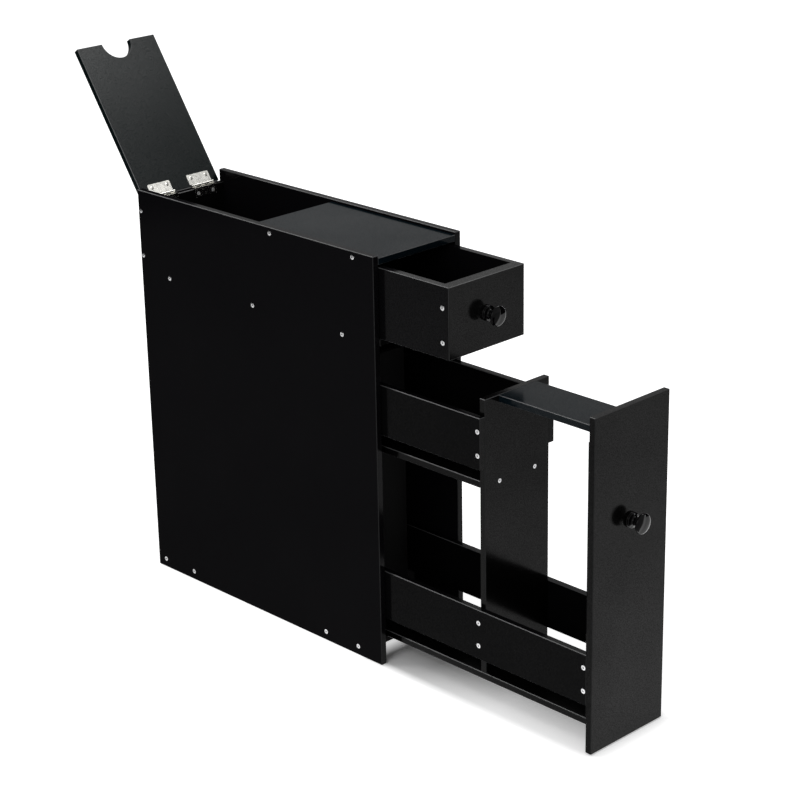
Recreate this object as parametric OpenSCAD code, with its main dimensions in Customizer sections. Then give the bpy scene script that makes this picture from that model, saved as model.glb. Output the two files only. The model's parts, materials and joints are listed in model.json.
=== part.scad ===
// Slim floor cabinet in black laminated board.
// A tall slide-out is drawn most of the way out, a small drawer partly, and a hinged lid stands open.
// Millimetres, +Z up, floor at Z = 0, front towards -Y, left and right halves mirrored about X = 0.
// Y = 0 lies half-way between the foremost and rearmost points of the whole cabinet as it stands here.

/* [Cabinet] */
// Outside width over the two side panels
cabinet_width = 160; // [140:1:220]
// Depth of the side panels, front to back
cabinet_depth = 480; // [420:1:560]
// Height of the side panels from the floor
cabinet_height = 580; // [560:1:680]
// Thickness of every board
board_thickness = 9.5; // [8:0.5:12]
// Width of the small bevel on every board edge
arris = 0.8; // [0.2:0.1:1]

/* [Top and shelf] */
// Depth of the fixed front half of the top
top_panel_depth = 238.5; // [200:0.5:260]
// Drop of the fixed top below the tops of the side panels
top_panel_drop = 3.5; // [1:0.5:8]
// Height of the upper face of the full shelf
shelf_top_height = 466.5; // [455:0.5:480]
// Distance of the top panel screws from its front and rear edges
top_screw_inset = 39; // [20:1:60]
// Distance of the outer shelf screws from its front and rear edges
shelf_screw_inset = 62; // [30:1:90]
// Distance of the lower back panel screws above the shelf
back_low_screw = 17.5; // [10:0.5:30]
// Distance of the upper back panel screws below the top of the back panel
back_high_screw = 13; // [10:0.5:30]

/* [Stretchers] */
// Width of each low cross board, front to back
stretcher_width = 90; // [60:1:110]
// Height of the underside of the low cross boards
stretcher_underside = 8; // [4:0.5:12]
// Distance of the front cross board behind the front edge
front_stretcher_setback = 34; // [20:1:60]
// Distance of the rear cross board ahead of the rear edge
rear_stretcher_setback = 4; // [2:1:30]
// Distance of the screws from the cross board edges
stretcher_screw_inset = 12.5; // [8:0.5:25]

/* [Slide-out] */
// How far the slide-out is drawn out in the stored pose
slide_out_pull = 366; // [0:1:380]
// Length of the slide-out from its front face to its rear end
slide_out_length = 465; // [400:1:470]
// Gap on each side between the slide-out or drawer and the side panels
side_gap = 1; // [0.5:0.1:2]
// Gap between the front board and the floor
front_floor_gap = 1; // [0.5:0.5:6]
// Gap between the front board and the shelf above it
front_shelf_gap = 3; // [1:0.5:6]
// Clearance of the runners over the low cross boards
runner_gap = 0.25; // [0.1:0.05:0.5]
// Width of each hidden runner
runner_width = 12; // [8:1:20]
// Distance between the centre lines of the two runners
runner_spread = 44; // [30:1:70]
// Height of the underside of the bottom board
bottom_board_underside = 34; // [30:0.5:45]
// Distance of the divider's front face behind the front face
divider_setback = 189.5; // [150:0.5:240]
// Drop of the divider and the top shelf below the top of the front board
divider_top_drop = 28; // [14:1:64]
// Height of the underside of the middle shelf
middle_shelf_underside = 304; // [240:1:320]
// Height of the side slats and width of the top shelf
slat_width = 70.5; // [50:0.5:90]
// Height of the underside of the bottom slats
bottom_slat_underside = 67; // [50:1:100]
// Height of the underside of the middle slats
middle_slat_underside = 333; // [320:1:350]
// Distance of the slat screws from the slat edges
slat_screw_inset = 19; // [10:0.5:25]
// Distance between the two screws through the face of the divider
divider_screw_spread = 66; // [40:1:90]
// Drop of the upper fixings of the front board below the top of the board behind it
upper_fixing_drop = 36.5; // [20:0.5:90]
// Height of the lower fixings of the front board
lower_fixing_height = 102; // [96:1:108]
// Distance between the left and right fixings of the hidden joints
fixing_spread = 80; // [60:1:100]

/* [Small drawer] */
// How far the small drawer is drawn out in the stored pose
drawer_pull = 124; // [0:1:140]
// Length of the small drawer from its front face to its rear end
drawer_length = 225; // [180:1:230]
// Thickness of the small drawer's front board
drawer_front_thickness = 16; // [12:0.5:19]
// Gap between the small drawer and the shelf it runs on
drawer_under_gap = 0.5; // [0.2:0.1:1]
// Gap between the small drawer and the top above it
drawer_over_gap = 3.5; // [1:0.5:8]
// Thickness of the small drawer's bottom sheet
drawer_sheet = 3; // [2:0.5:5]
// Depth of the groove that holds the bottom sheet
drawer_groove = 4; // [2:0.5:5]
// Height of the groove above the lower edge of the drawer boards
drawer_groove_lift = 7; // [5:0.5:12]
// Distance of the front corner screws behind the front face
drawer_corner_screw = 11.5; // [9:0.5:13]
// Height of the lower corner screws above the bottom sheet, as a part of the height from there up
drawer_low_screw = 0.133; // [0.13:0.001:0.3]
// Height of the upper corner screws above the bottom sheet, as a part of the height from there up
drawer_high_screw = 0.665; // [0.6:0.005:0.8]
// Radius of the small drawer's two front corners
drawer_round = 1.6; // [0.8:0.1:3]

/* [Lid] */
// Distance from the hinge axis to the free edge of the lid
lid_length = 237.5; // [200:0.5:238]
// Distance from the hinge axis to the hinged end of the lid
lid_setback = 0; // [0:0.1:2]
// Drop of the closed lid below the tops of the side panels
lid_drop = 2.7; // [1:0.1:8]
// Angle of the open lid from its closed position
lid_open_angle = 124.5; // [95:0.5:130]
// Radius of the half-round finger notch
notch_radius = 25; // [15:1:35]

/* [Hinges] */
// Distance between the middles of the two hinges
hinge_spread = 71.5; // [60:0.5:90]
// Width of each hinge along its pin
hinge_width = 40; // [30:1:50]
// Outside radius of the hinge knuckles
knuckle_radius = 2.4; // [2.2:0.1:3]
// Radius of the hinge pin
pin_radius = 1.3; // [1:0.1:1.4]
// Running clearance around the pin in the knuckles
pin_clearance = 0.05; // [0.02:0.01:0.1]
// Clearance between moving knuckles and the leaf that they pass
knuckle_gap = 0.35; // [0.2:0.05:0.6]
// Clearance between the knuckles and the boards under and over them
knuckle_lift = 0.1; // [0.05:0.05:0.3]
// Thickness of each hinge leaf
leaf_thickness = 1; // [0.8:0.1:1.2]
// Reach of the lid's leaf from the hinge axis
lid_leaf_reach = 18; // [12:0.5:20]
// Length of the fixed leaf down the inside of the back panel
fixed_leaf_drop = 14; // [12:0.5:24]
// Corner radius of the leaves
leaf_corner = 2; // [1:0.5:3]
// Distance of the leaf screws from the free edge of their leaf
leaf_screw_inset = 5.5; // [4:0.5:8]
// Distance between the two screws of one leaf
leaf_screw_spread = 27; // [18:1:30]

/* [Knobs] */
// Height of the knob on the tall front
tall_knob_height = 301.5; // [250:0.5:320]
// Height of the knob on the small drawer as a part of the drawer's height
drawer_knob_share = 0.487; // [0.4:0.001:0.6]
// Diameter over the rim of a knob
knob_diameter = 28.6; // [24:0.2:34]
// Diameter of the double ring at the foot of a knob
knob_foot_diameter = 21; // [16:0.5:24]
// Diameter of the narrowest part of the knob's neck
knob_neck_diameter = 11; // [9:0.5:14]
// Length of a knob from the board to the middle of its face
knob_length = 23; // [20:0.5:28]
// Radius of the two rounded rings at the foot
knob_ring = 1.2; // [0.8:0.1:1.4]
// Radius of the rounded rim
knob_rim = 1; // [0.6:0.1:1.4]
// Rise of the domed face above the groove inside the rim
knob_dome = 1.6; // [0.8:0.1:2]
// Depth of the screw's hole in a knob
knob_bore_depth = 13; // [10:0.5:15]

/* [Screws] */
// Head diameter of the board screws
screw_head = 6.8; // [6:0.2:9]
// Shank diameter of the board screws
screw_shank = 4; // [3:0.1:4.5]
// Length of the board screws
screw_length = 28; // [20:1:35]
// Head diameter of the screws through the divider and the hidden joints
face_screw_head = 6; // [5:0.2:7]
// Shank diameter of the screws through the divider and the hidden joints
face_screw_shank = 3; // [2.5:0.1:3.5]
// Length of the screws through the front board, which stop short of its face
front_screw_length = 16; // [13:1:17]
// Head diameter of the hinge screws
leaf_screw_head = 5; // [4:0.2:6]
// Shank diameter of the hinge screws
leaf_screw_shank = 2.4; // [2:0.1:3]
// Length of the hinge screws
leaf_screw_length = 8; // [6:0.5:8.5]
// Shank diameter of the knob screws
knob_screw_shank = 4; // [3:0.1:5]
// Head diameter of the knob screws
knob_screw_head = 8; // [7:0.2:10]
// Height of the knob screws' heads
knob_screw_head_height = 2.4; // [2:0.1:3]
// Depth of every countersunk head below the surface
head_sink = 0.3; // [0.1:0.05:0.5]
// Height of the straight rim of every countersunk head
head_rim = 0.4; // [0.2:0.05:0.6]
// Clearance around every screw
screw_gap = 0.4; // [0.1:0.05:0.5]
// Width of the cross recess as a part of the head diameter
recess_width = 0.16; // [0.1:0.01:0.25]
// Length of the cross recess as a part of the head diameter
recess_length = 0.6; // [0.4:0.05:0.7]
// Depth of the cross recess
recess_depth = 1.2; // [0.8:0.1:1.5]

/* [Hidden] */
$fn = 48;
overshoot = 1;
board = board_thickness;
inner_width = cabinet_width - 2 * board;
moving_width = inner_width - 2 * side_gap;
core_width = moving_width - 2 * board;
top_panel_top = cabinet_height - top_panel_drop;
top_panel_underside = top_panel_top - board;
shelf_underside = shelf_top_height - board;
stretcher_top = stretcher_underside + board;
rear_stretcher_start = cabinet_depth - rear_stretcher_setback - stretcher_width;

// Lid and hinge line, seen in the closed position
lid_top = cabinet_height - lid_drop;
lid_underside = lid_top - board;
back_panel_top = lid_underside - 2 * (knuckle_radius + knuckle_lift);
hinge_z = back_panel_top + knuckle_radius + knuckle_lift;
hinge_y = cabinet_depth - knuckle_radius;
lid_low = lid_underside - hinge_z;
lid_high = lid_top - hinge_z;
knuckle_count = 5;
knuckle_pitch = hinge_width / knuckle_count;
leaf_relief = knuckle_radius + knuckle_gap;
fixed_leaf_underside = back_panel_top - hinge_z;
fixed_leaf_front = cabinet_depth - board - leaf_thickness - hinge_y;
fixed_leaf_low = fixed_leaf_underside + leaf_thickness - fixed_leaf_drop;

// Heights and lengths inside the slide-out, measured from its own front face
front_top = shelf_underside - front_shelf_gap;
front_height = front_top - front_floor_gap;
divider_top_height = front_top - divider_top_drop;
bottom_board_top = bottom_board_underside + board;
runner_underside = stretcher_top + runner_gap;
runner_height = bottom_board_underside - runner_underside;
divider_back = divider_setback + board;
top_shelf_underside = divider_top_height - board;
middle_slat_top = middle_slat_underside + slat_width;
inner_board_middle = 1.5 * board;
divider_middle = divider_setback + board / 2;
rear_board_front = slide_out_length - board;
rear_board_middle = slide_out_length - board / 2;
middle_shelf_middle = middle_shelf_underside + board / 2;
top_shelf_middle = top_shelf_underside + board / 2;

// Sizes of the small drawer, measured from its own front face and lower edge
drawer_underside = shelf_top_height + drawer_under_gap;
drawer_height = top_panel_underside - drawer_over_gap - drawer_underside;
drawer_knob_height = drawer_knob_share * drawer_height;
drawer_sheet_top = drawer_groove_lift + drawer_sheet;
drawer_back_front = drawer_length - board;
drawer_back_middle = drawer_length - board / 2;

// Where the stored pose lies along Y
lid_reach_flat = (lid_length - arris) * -cos(lid_open_angle) + lid_high * sin(lid_open_angle);
lid_reach_edge = lid_length * -cos(lid_open_angle) + (lid_high - arris) * sin(lid_open_angle);
rear_reach = hinge_y + max(lid_reach_flat, lid_reach_edge);
front_reach = slide_out_pull + knob_length;
frame_front = (front_reach - rear_reach) / 2;

// Screw places as [distance back, height]
top_spots = [[top_screw_inset, top_panel_top - board / 2],
    [top_panel_depth - top_screw_inset, top_panel_top - board / 2]];
shelf_spots = [[shelf_screw_inset, shelf_top_height - board / 2],
    [cabinet_depth / 2, shelf_top_height - board / 2],
    [cabinet_depth - shelf_screw_inset, shelf_top_height - board / 2]];
back_spots = [[cabinet_depth - board / 2, shelf_top_height + back_low_screw],
    [cabinet_depth - board / 2, back_panel_top - back_high_screw]];
front_stretcher_spots = [[front_stretcher_setback + stretcher_screw_inset, stretcher_top - board / 2],
    [front_stretcher_setback + stretcher_width - stretcher_screw_inset, stretcher_top - board / 2]];
rear_stretcher_spots = [[rear_stretcher_start + stretcher_screw_inset, stretcher_top - board / 2],
    [rear_stretcher_start + stretcher_width - stretcher_screw_inset, stretcher_top - board / 2]];
case_spots = concat(top_spots, shelf_spots, back_spots, front_stretcher_spots, rear_stretcher_spots);
slat_rows = [slat_screw_inset, slat_width - slat_screw_inset];
bottom_slat_stations = [inner_board_middle, divider_middle, rear_board_middle];
middle_slat_stations = [divider_middle, rear_board_middle];
bottom_slat_spots = [for (station = bottom_slat_stations)
    for (row = slat_rows) [station, bottom_slat_underside + row]];
middle_slat_spots = [for (station = middle_slat_stations)
    for (row = slat_rows) [station, middle_slat_underside + row]];
drawer_spots = [for (station = [drawer_corner_screw, drawer_back_middle])
    for (row = [drawer_low_screw, drawer_high_screw])
    [station, drawer_sheet_top + row * (drawer_height - drawer_sheet_top)]];

// Places: each group is drawn in its own coordinates and set down here
module in_case() {
    translate([0, frame_front, 0]) children();
}

module in_slide_out() {
    translate([0, frame_front - slide_out_pull, 0]) children();
}

module in_drawer() {
    translate([0, frame_front - drawer_pull, drawer_underside]) children();
}

module on_hinge_axis() {
    translate([0, frame_front + hinge_y, hinge_z]) children();
}

module in_open_lid() {
    on_hinge_axis() rotate([-lid_open_angle, 0, 0]) children();
}

// Directions: the +Z of what is drawn is turned to point out of the face that it sits in
module facing_side(side) {
    rotate([0, side * 90, 0]) children();
}

module facing_front() {
    rotate([90, 0, 0]) children();
}

module facing_back() {
    rotate([-90, 0, 0]) children();
}

module facing_down() {
    rotate([180, 0, 0]) children();
}

// Boards
module bevelled_outline(width, height) {
    polygon([[arris, 0], [width - arris, 0], [width, arris], [width, height - arris],
        [width - arris, height], [arris, height], [0, height - arris], [0, arris]]);
}

// One board with a bevel on all its edges, from its low corner
module bevelled_board(size) {
    intersection() {
        linear_extrude(height = size[2]) bevelled_outline(size[0], size[1]);
        translate([0, size[1], 0])
            rotate([90, 0, 0])
            linear_extrude(height = size[1])
            bevelled_outline(size[0], size[2]);
        rotate([90, 0, 90]) linear_extrude(height = size[0]) bevelled_outline(size[1], size[2]);
    }
}

// A board centred on X = 0, from its front edge and underside
module centred_board(size, front, underside) {
    translate([-size[0] / 2, front, underside]) bevelled_board(size);
}

// A board on edge whose outer face stands at a distance from X = 0, on the left or the right
module edge_board(side, outer, size, front, underside) {
    start = side < 0 ? -outer : outer - size[0];
    translate([start, front, underside]) bevelled_board(size);
}

// Screws: each has its head at Z = 0 and runs down -Z
module screw_blank(head, shank, length) {
    cone_top = head_sink + head_rim;
    rotate_extrude()
        polygon([[0, -length], [shank / 4, -length], [shank / 2, -length + shank / 2],
            [shank / 2, -cone_top - (head - shank) / 2], [head / 2, -cone_top],
            [head / 2, -head_sink], [0, -head_sink]]);
}

module cross_recess(head, face) {
    for (turn = [0, 90])
        rotate([0, 0, turn])
        translate([-head * recess_width / 2, -head * recess_length / 2, face - recess_depth])
        cube([head * recess_width, head * recess_length, recess_depth + overshoot]);
}

module flat_screw(head, shank, length) {
    difference() {
        screw_blank(head, shank, length);
        cross_recess(head, -head_sink);
    }
}

// The countersunk hole that one of these screws sits in, larger by the clearance all round
module flat_screw_hole(head, shank, length) {
    cone_top = head_sink + head_rim;
    rotate_extrude()
        polygon([[0, -length - screw_gap], [shank / 2 + screw_gap, -length - screw_gap],
            [shank / 2 + screw_gap, -cone_top - (head - shank) / 2],
            [head / 2 + screw_gap, -cone_top], [head / 2 + screw_gap, overshoot], [0, overshoot]]);
}

module board_screw() {
    flat_screw(screw_head, screw_shank, screw_length);
}

module board_screw_hole() {
    flat_screw_hole(screw_head, screw_shank, screw_length);
}

module face_screw() {
    flat_screw(face_screw_head, face_screw_shank, screw_length);
}

module face_screw_hole() {
    flat_screw_hole(face_screw_head, face_screw_shank, screw_length);
}

module front_screw() {
    flat_screw(face_screw_head, face_screw_shank, front_screw_length);
}

module front_screw_hole() {
    flat_screw_hole(face_screw_head, face_screw_shank, front_screw_length);
}

module leaf_screw() {
    flat_screw(leaf_screw_head, leaf_screw_shank, leaf_screw_length);
}

module leaf_screw_hole() {
    flat_screw_hole(leaf_screw_head, leaf_screw_shank, leaf_screw_length);
}

// Screw places on the side faces of a body of the given width
module at_side(side, width, spots) {
    for (spot = spots)
        translate([side * width / 2, spot[0], spot[1]])
        facing_side(side)
        children();
}

// A body bored from both sides for the board screws
module side_bored(width, spots) {
    difference() {
        children();
        at_side(-1, width, spots) board_screw_hole();
        at_side(1, width, spots) board_screw_hole();
    }
}

// Screw places of the joints inside the slide-out
module at_divider_front() {
    for (side = [-1, 1])
        translate([side * divider_screw_spread / 2, divider_setback, middle_shelf_middle])
        facing_front()
        children();
}

module at_divider_back() {
    for (side = [-1, 1])
        translate([side * slat_width / 4, divider_back, top_shelf_middle])
        facing_back()
        children();
}

module at_rear_board() {
    for (side = [-1, 1])
        translate([side * divider_screw_spread / 2, slide_out_length, middle_shelf_middle])
        facing_back()
        children();
}

module at_inner_board() {
    for (side = [-1, 1])
        for (height = [lower_fixing_height, top_shelf_underside - upper_fixing_drop])
        translate([side * fixing_spread / 2, 2 * board, height])
        facing_back()
        children();
}

module at_underside() {
    for (side = [-1, 1])
        for (station = [inner_board_middle, divider_middle, rear_board_middle])
        translate([side * fixing_spread / 2, station, bottom_board_underside])
        facing_down()
        children();
}

// Fixed part of the cabinet
module case_side(side) {
    difference() {
        edge_board(side, cabinet_width / 2, [board, cabinet_depth, cabinet_height], 0, 0);
        at_side(side, cabinet_width, case_spots) board_screw_hole();
    }
}

module left_side_panel() {
    color([0.05, 0.05, 0.055]) in_case() case_side(-1);
}

module right_side_panel() {
    color([0.05, 0.05, 0.055]) in_case() case_side(1);
}

module top_panel() {
    color([0.07, 0.07, 0.075])
        in_case()
        side_bored(cabinet_width, top_spots)
        centred_board([inner_width, top_panel_depth, board], 0, top_panel_underside);
}

module shelf_panel() {
    color([0.07, 0.07, 0.075])
        in_case()
        side_bored(cabinet_width, shelf_spots)
        centred_board([inner_width, cabinet_depth, board], 0, shelf_underside);
}

module upper_back_panel() {
    height = back_panel_top - shelf_top_height;
    color([0.07, 0.07, 0.075])
        difference() {
            in_case()
                side_bored(cabinet_width, back_spots)
                centred_board([inner_width, board, height], cabinet_depth - board, shelf_top_height);
            at_fixed_leaf_screws() leaf_screw_hole();
        }
}

module front_stretcher() {
    color([0.07, 0.07, 0.075])
        in_case()
        side_bored(cabinet_width, front_stretcher_spots)
        centred_board([inner_width, stretcher_width, board], front_stretcher_setback, stretcher_underside);
}

module rear_stretcher() {
    color([0.07, 0.07, 0.075])
        in_case()
        side_bored(cabinet_width, rear_stretcher_spots)
        centred_board([inner_width, stretcher_width, board], rear_stretcher_start, stretcher_underside);
}

module left_case_screws() {
    color([0.75, 0.76, 0.78]) in_case() at_side(-1, cabinet_width, case_spots) board_screw();
}

module right_case_screws() {
    color([0.75, 0.76, 0.78]) in_case() at_side(1, cabinet_width, case_spots) board_screw();
}

// Hinges, drawn around the hinge axis with the lid closed and lying towards -Y
module leaf_outline(width, length) {
    corner = leaf_corner;
    difference() {
        translate([-width / 2, 0]) square([width, length]);
        for (side = [-1, 1])
            translate([side * width / 2, 0])
            difference() {
                square(2 * corner, center = true);
                translate([-side * corner, corner]) circle(r = corner);
            }
    }
}

module knuckle(place) {
    translate([(place - (knuckle_count - 1) / 2) * knuckle_pitch, 0, 0])
        rotate([0, 90, 0])
        cylinder(r = knuckle_radius, h = knuckle_pitch - knuckle_gap, center = true);
}

// The tongue that joins a knuckle to its leaf
module tongue(place, underside) {
    width = knuckle_pitch - knuckle_gap;
    middle = (place - (knuckle_count - 1) / 2) * knuckle_pitch;
    translate([middle - width / 2, -leaf_relief - overshoot, underside])
        cube([width, leaf_relief + overshoot, leaf_thickness]);
}

module pin_bore() {
    rotate([0, 90, 0])
        cylinder(r = pin_radius + pin_clearance, h = hinge_width + overshoot, center = true);
}

module fixed_leaf() {
    flat_length = -leaf_relief - fixed_leaf_front;
    difference() {
        union() {
            for (place = [0, 2, 4]) {
                knuckle(place);
                tongue(place, fixed_leaf_underside);
            }
            translate([-hinge_width / 2, fixed_leaf_front, fixed_leaf_underside])
                cube([hinge_width, flat_length, leaf_thickness]);
            translate([0, fixed_leaf_front + leaf_thickness, fixed_leaf_low])
                rotate([90, 0, 0])
                linear_extrude(height = leaf_thickness)
                leaf_outline(hinge_width, fixed_leaf_drop);
        }
        pin_bore();
        at_fixed_leaf() leaf_screw_hole();
    }
}

module lid_leaf() {
    difference() {
        union() {
            for (place = [1, 3]) {
                knuckle(place);
                tongue(place, lid_low - leaf_thickness);
            }
            translate([0, -lid_leaf_reach, lid_low - leaf_thickness])
                linear_extrude(height = leaf_thickness)
                leaf_outline(hinge_width, lid_leaf_reach - leaf_relief);
        }
        pin_bore();
        at_lid_leaf() leaf_screw_hole();
    }
}

module at_fixed_leaf() {
    for (side = [-1, 1])
        translate([side * leaf_screw_spread / 2, fixed_leaf_front, fixed_leaf_low + leaf_screw_inset])
        facing_front()
        children();
}

module at_lid_leaf() {
    row = -lid_leaf_reach + leaf_screw_inset;
    for (side = [-1, 1])
        translate([side * leaf_screw_spread / 2, row, lid_low - leaf_thickness])
        facing_down()
        children();
}

module at_hinge(side) {
    translate([side * hinge_spread / 2, 0, 0]) children();
}

module at_fixed_leaf_screws() {
    on_hinge_axis() for (side = [-1, 1]) at_hinge(side) at_fixed_leaf() children();
}

module hinge_pin() {
    rotate([0, 90, 0]) cylinder(r = pin_radius, h = hinge_width, center = true);
}

module left_fixed_leaf() {
    color([0.72, 0.71, 0.68]) on_hinge_axis() at_hinge(-1) fixed_leaf();
}

module right_fixed_leaf() {
    color([0.72, 0.71, 0.68]) on_hinge_axis() at_hinge(1) fixed_leaf();
}

module left_hinge_pin() {
    color([0.65, 0.65, 0.66]) on_hinge_axis() at_hinge(-1) hinge_pin();
}

module right_hinge_pin() {
    color([0.65, 0.65, 0.66]) on_hinge_axis() at_hinge(1) hinge_pin();
}

module fixed_leaf_screws() {
    color([0.75, 0.76, 0.78]) at_fixed_leaf_screws() leaf_screw();
}

// Lid
module finger_notch() {
    translate([0, -lid_length, lid_low - overshoot])
        cylinder(r = notch_radius, h = board + 2 * overshoot);
    translate([0, -lid_length, lid_low - arris])
        cylinder(r1 = notch_radius + 2 * arris, r2 = notch_radius, h = 2 * arris);
    translate([0, -lid_length, lid_high - arris])
        cylinder(r1 = notch_radius, r2 = notch_radius + 2 * arris, h = 2 * arris);
}

module lid_panel() {
    length = lid_length - lid_setback;
    color([0.08, 0.08, 0.085])
        in_open_lid()
        difference() {
            centred_board([moving_width, length, board], -lid_length, lid_low);
            finger_notch();
            for (side = [-1, 1]) at_hinge(side) at_lid_leaf() leaf_screw_hole();
        }
}

module left_lid_leaf() {
    color([0.72, 0.71, 0.68]) in_open_lid() at_hinge(-1) lid_leaf();
}

module right_lid_leaf() {
    color([0.72, 0.71, 0.68]) in_open_lid() at_hinge(1) lid_leaf();
}

module lid_leaf_screws() {
    color([0.75, 0.76, 0.78])
        in_open_lid()
        for (side = [-1, 1]) at_hinge(side) at_lid_leaf() leaf_screw();
}

// Knobs, drawn standing on Z = 0
function ring_arc(radius, height, size, from, to) =
    [for (angle = [from : 15 : to]) [radius + size * cos(angle), height + size * sin(angle)]];

module knob_blank() {
    foot = knob_foot_diameter / 2;
    neck = knob_neck_diameter / 2;
    head = knob_diameter / 2 - knob_rim;
    rim_height = knob_length - knob_dome / 2 - knob_rim;
    foot_height = 4 * knob_ring;
    neck_height = foot_height + knob_ring * 3;
    cove = [for (angle = [15 : 15 : 90])
        [neck + (foot - knob_ring - neck) * (1 - sin(angle)),
            foot_height + (neck_height - foot_height) * (1 - cos(angle))]];
    flare = [for (angle = [15 : 15 : 75])
        [neck + (head - neck) * (1 - cos(angle)),
            neck_height + (rim_height - knob_rim - neck_height) * sin(angle)]];
    face = [for (angle = [30 : 15 : 90])
        [(head - knob_rim / 2) * cos(angle),
            knob_length - knob_dome + knob_dome * sin(angle)]];
    rotate_extrude()
        polygon(concat([[0, 0], [foot - knob_ring, 0]],
            ring_arc(foot - knob_ring, knob_ring, knob_ring, -75, 60),
            ring_arc(foot - knob_ring, 3 * knob_ring, knob_ring, -60, 75),
            cove, flare,
            ring_arc(head, rim_height, knob_rim, -90, 90),
            [[head - knob_rim / 2, knob_length - knob_dome]],
            face));
}

module knob() {
    difference() {
        knob_blank();
        translate([0, 0, -overshoot])
            cylinder(d = knob_screw_shank + 2 * screw_gap, h = knob_bore_depth + overshoot);
    }
}

// The screw of a knob, from the inner face of boards of the given thickness
module knob_screw(thickness) {
    length = thickness + knob_bore_depth - overshoot;
    difference() {
        union() {
            translate([0, 0, -length]) cylinder(d = knob_screw_shank, h = length + head_rim);
            cylinder(d = knob_screw_head, h = knob_screw_head_height);
        }
        cross_recess(knob_screw_head, knob_screw_head_height);
    }
}

module knob_hole(thickness) {
    translate([0, -overshoot, 0])
        rotate([-90, 0, 0])
        cylinder(d = knob_screw_shank + 2 * screw_gap, h = thickness + 2 * overshoot);
}

// Small drawer
module drawer_groove_cut() {
    length = drawer_length - drawer_front_thickness - board + 2 * drawer_groove;
    width = core_width + 2 * drawer_groove;
    translate([-width / 2, drawer_front_thickness - drawer_groove, drawer_groove_lift])
        cube([width, length, drawer_sheet]);
}

// Outline of the drawer seen from above, with its rounded front corners
module drawer_outline() {
    half = moving_width / 2;
    translate([-half, drawer_round]) square([moving_width, drawer_length - drawer_round]);
    translate([-half + drawer_round, 0]) square([moving_width - 2 * drawer_round, drawer_length]);
    for (side = [-1, 1])
        translate([side * (half - drawer_round), drawer_round]) circle(r = drawer_round);
}

// Plan of one mitred drawer side, on the left
module drawer_side_plan() {
    half = moving_width / 2;
    intersection() {
        polygon([
            [-half, 0],
            [-half + board, board],
            [-half + board, drawer_length],
            [-half, drawer_length]
        ]);
        drawer_outline();
    }
}

module drawer_side(side) {
    difference() {
        intersection() {
            scale([-side, 1, 1]) linear_extrude(height = drawer_height) drawer_side_plan();
            centred_board([moving_width, drawer_length, drawer_height], 0, 0);
        }
        at_side(side, moving_width, drawer_spots) board_screw_hole();
        drawer_groove_cut();
    }
}

module drawer_front_plan() {
    half = moving_width / 2;
    core = core_width / 2;
    intersection() {
        polygon([[-half, 0], [half, 0], [core, board], [core, drawer_front_thickness],
            [-core, drawer_front_thickness], [-core, board]]);
        drawer_outline();
    }
}

module drawer_front() {
    color([0.1, 0.1, 0.105])
        in_drawer()
        difference() {
            side_bored(moving_width, drawer_spots)
                intersection() {
                    linear_extrude(height = drawer_height) drawer_front_plan();
                    centred_board([moving_width, drawer_front_thickness, drawer_height], 0, 0);
                }
            drawer_groove_cut();
            translate([0, 0, drawer_knob_height]) knob_hole(drawer_front_thickness);
        }
}

module drawer_left_side() {
    color([0.05, 0.05, 0.055]) in_drawer() drawer_side(-1);
}

module drawer_right_side() {
    color([0.05, 0.05, 0.055]) in_drawer() drawer_side(1);
}

module drawer_back() {
    color([0.07, 0.07, 0.075])
        in_drawer()
        difference() {
            side_bored(moving_width, drawer_spots)
                centred_board([core_width, board, drawer_height], drawer_back_front, 0);
            drawer_groove_cut();
        }
}

module drawer_bottom() {
    color([0.07, 0.07, 0.075]) in_drawer() drawer_groove_cut();
}

module drawer_knob() {
    color([0.02, 0.02, 0.02])
        in_drawer()
        translate([0, 0, drawer_knob_height])
        facing_front()
        knob();
}

module drawer_knob_screw() {
    color([0.75, 0.76, 0.78])
        in_drawer()
        translate([0, drawer_front_thickness, drawer_knob_height])
        facing_back()
        knob_screw(drawer_front_thickness);
}

module drawer_screws() {
    color([0.75, 0.76, 0.78])
        in_drawer()
        for (side = [-1, 1]) at_side(side, moving_width, drawer_spots) board_screw();
}

// Tall slide-out
module slat(side, front, underside, spots) {
    difference() {
        edge_board(side, moving_width / 2, [board, slide_out_length - front, slat_width], front, underside);
        at_side(side, moving_width, spots) board_screw_hole();
    }
}

module tall_front() {
    color([0.1, 0.1, 0.105])
        in_slide_out()
        difference() {
            centred_board([moving_width, board, front_height], 0, front_floor_gap);
            at_inner_board() front_screw_hole();
            translate([0, 0, tall_knob_height]) knob_hole(board);
        }
}

module inner_board() {
    height = top_shelf_underside - bottom_board_top;
    color([0.07, 0.07, 0.075])
        in_slide_out()
        difference() {
            side_bored(moving_width, bottom_slat_spots)
                centred_board([core_width, board, height], board, bottom_board_top);
            at_inner_board() front_screw_hole();
            at_underside() face_screw_hole();
            translate([0, board, tall_knob_height]) knob_hole(board);
        }
}

module divider_panel() {
    height = divider_top_height - bottom_board_top;
    color([0.09, 0.09, 0.095])
        in_slide_out()
        difference() {
            side_bored(moving_width, concat(bottom_slat_spots, middle_slat_spots))
                centred_board([core_width, board, height], divider_setback, bottom_board_top);
            at_divider_front() face_screw_hole();
            at_divider_back() face_screw_hole();
            at_underside() face_screw_hole();
        }
}

module rear_board() {
    height = middle_slat_top - bottom_board_top;
    color([0.07, 0.07, 0.075])
        in_slide_out()
        difference() {
            side_bored(moving_width, concat(bottom_slat_spots, middle_slat_spots))
                centred_board([core_width, board, height], rear_board_front, bottom_board_top);
            at_rear_board() face_screw_hole();
            at_underside() face_screw_hole();
        }
}

module top_shelf() {
    length = divider_setback - board;
    color([0.09, 0.09, 0.095])
        in_slide_out()
        difference() {
            centred_board([slat_width, length, board], board, top_shelf_underside);
            at_divider_back() face_screw_hole();
        }
}

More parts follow.
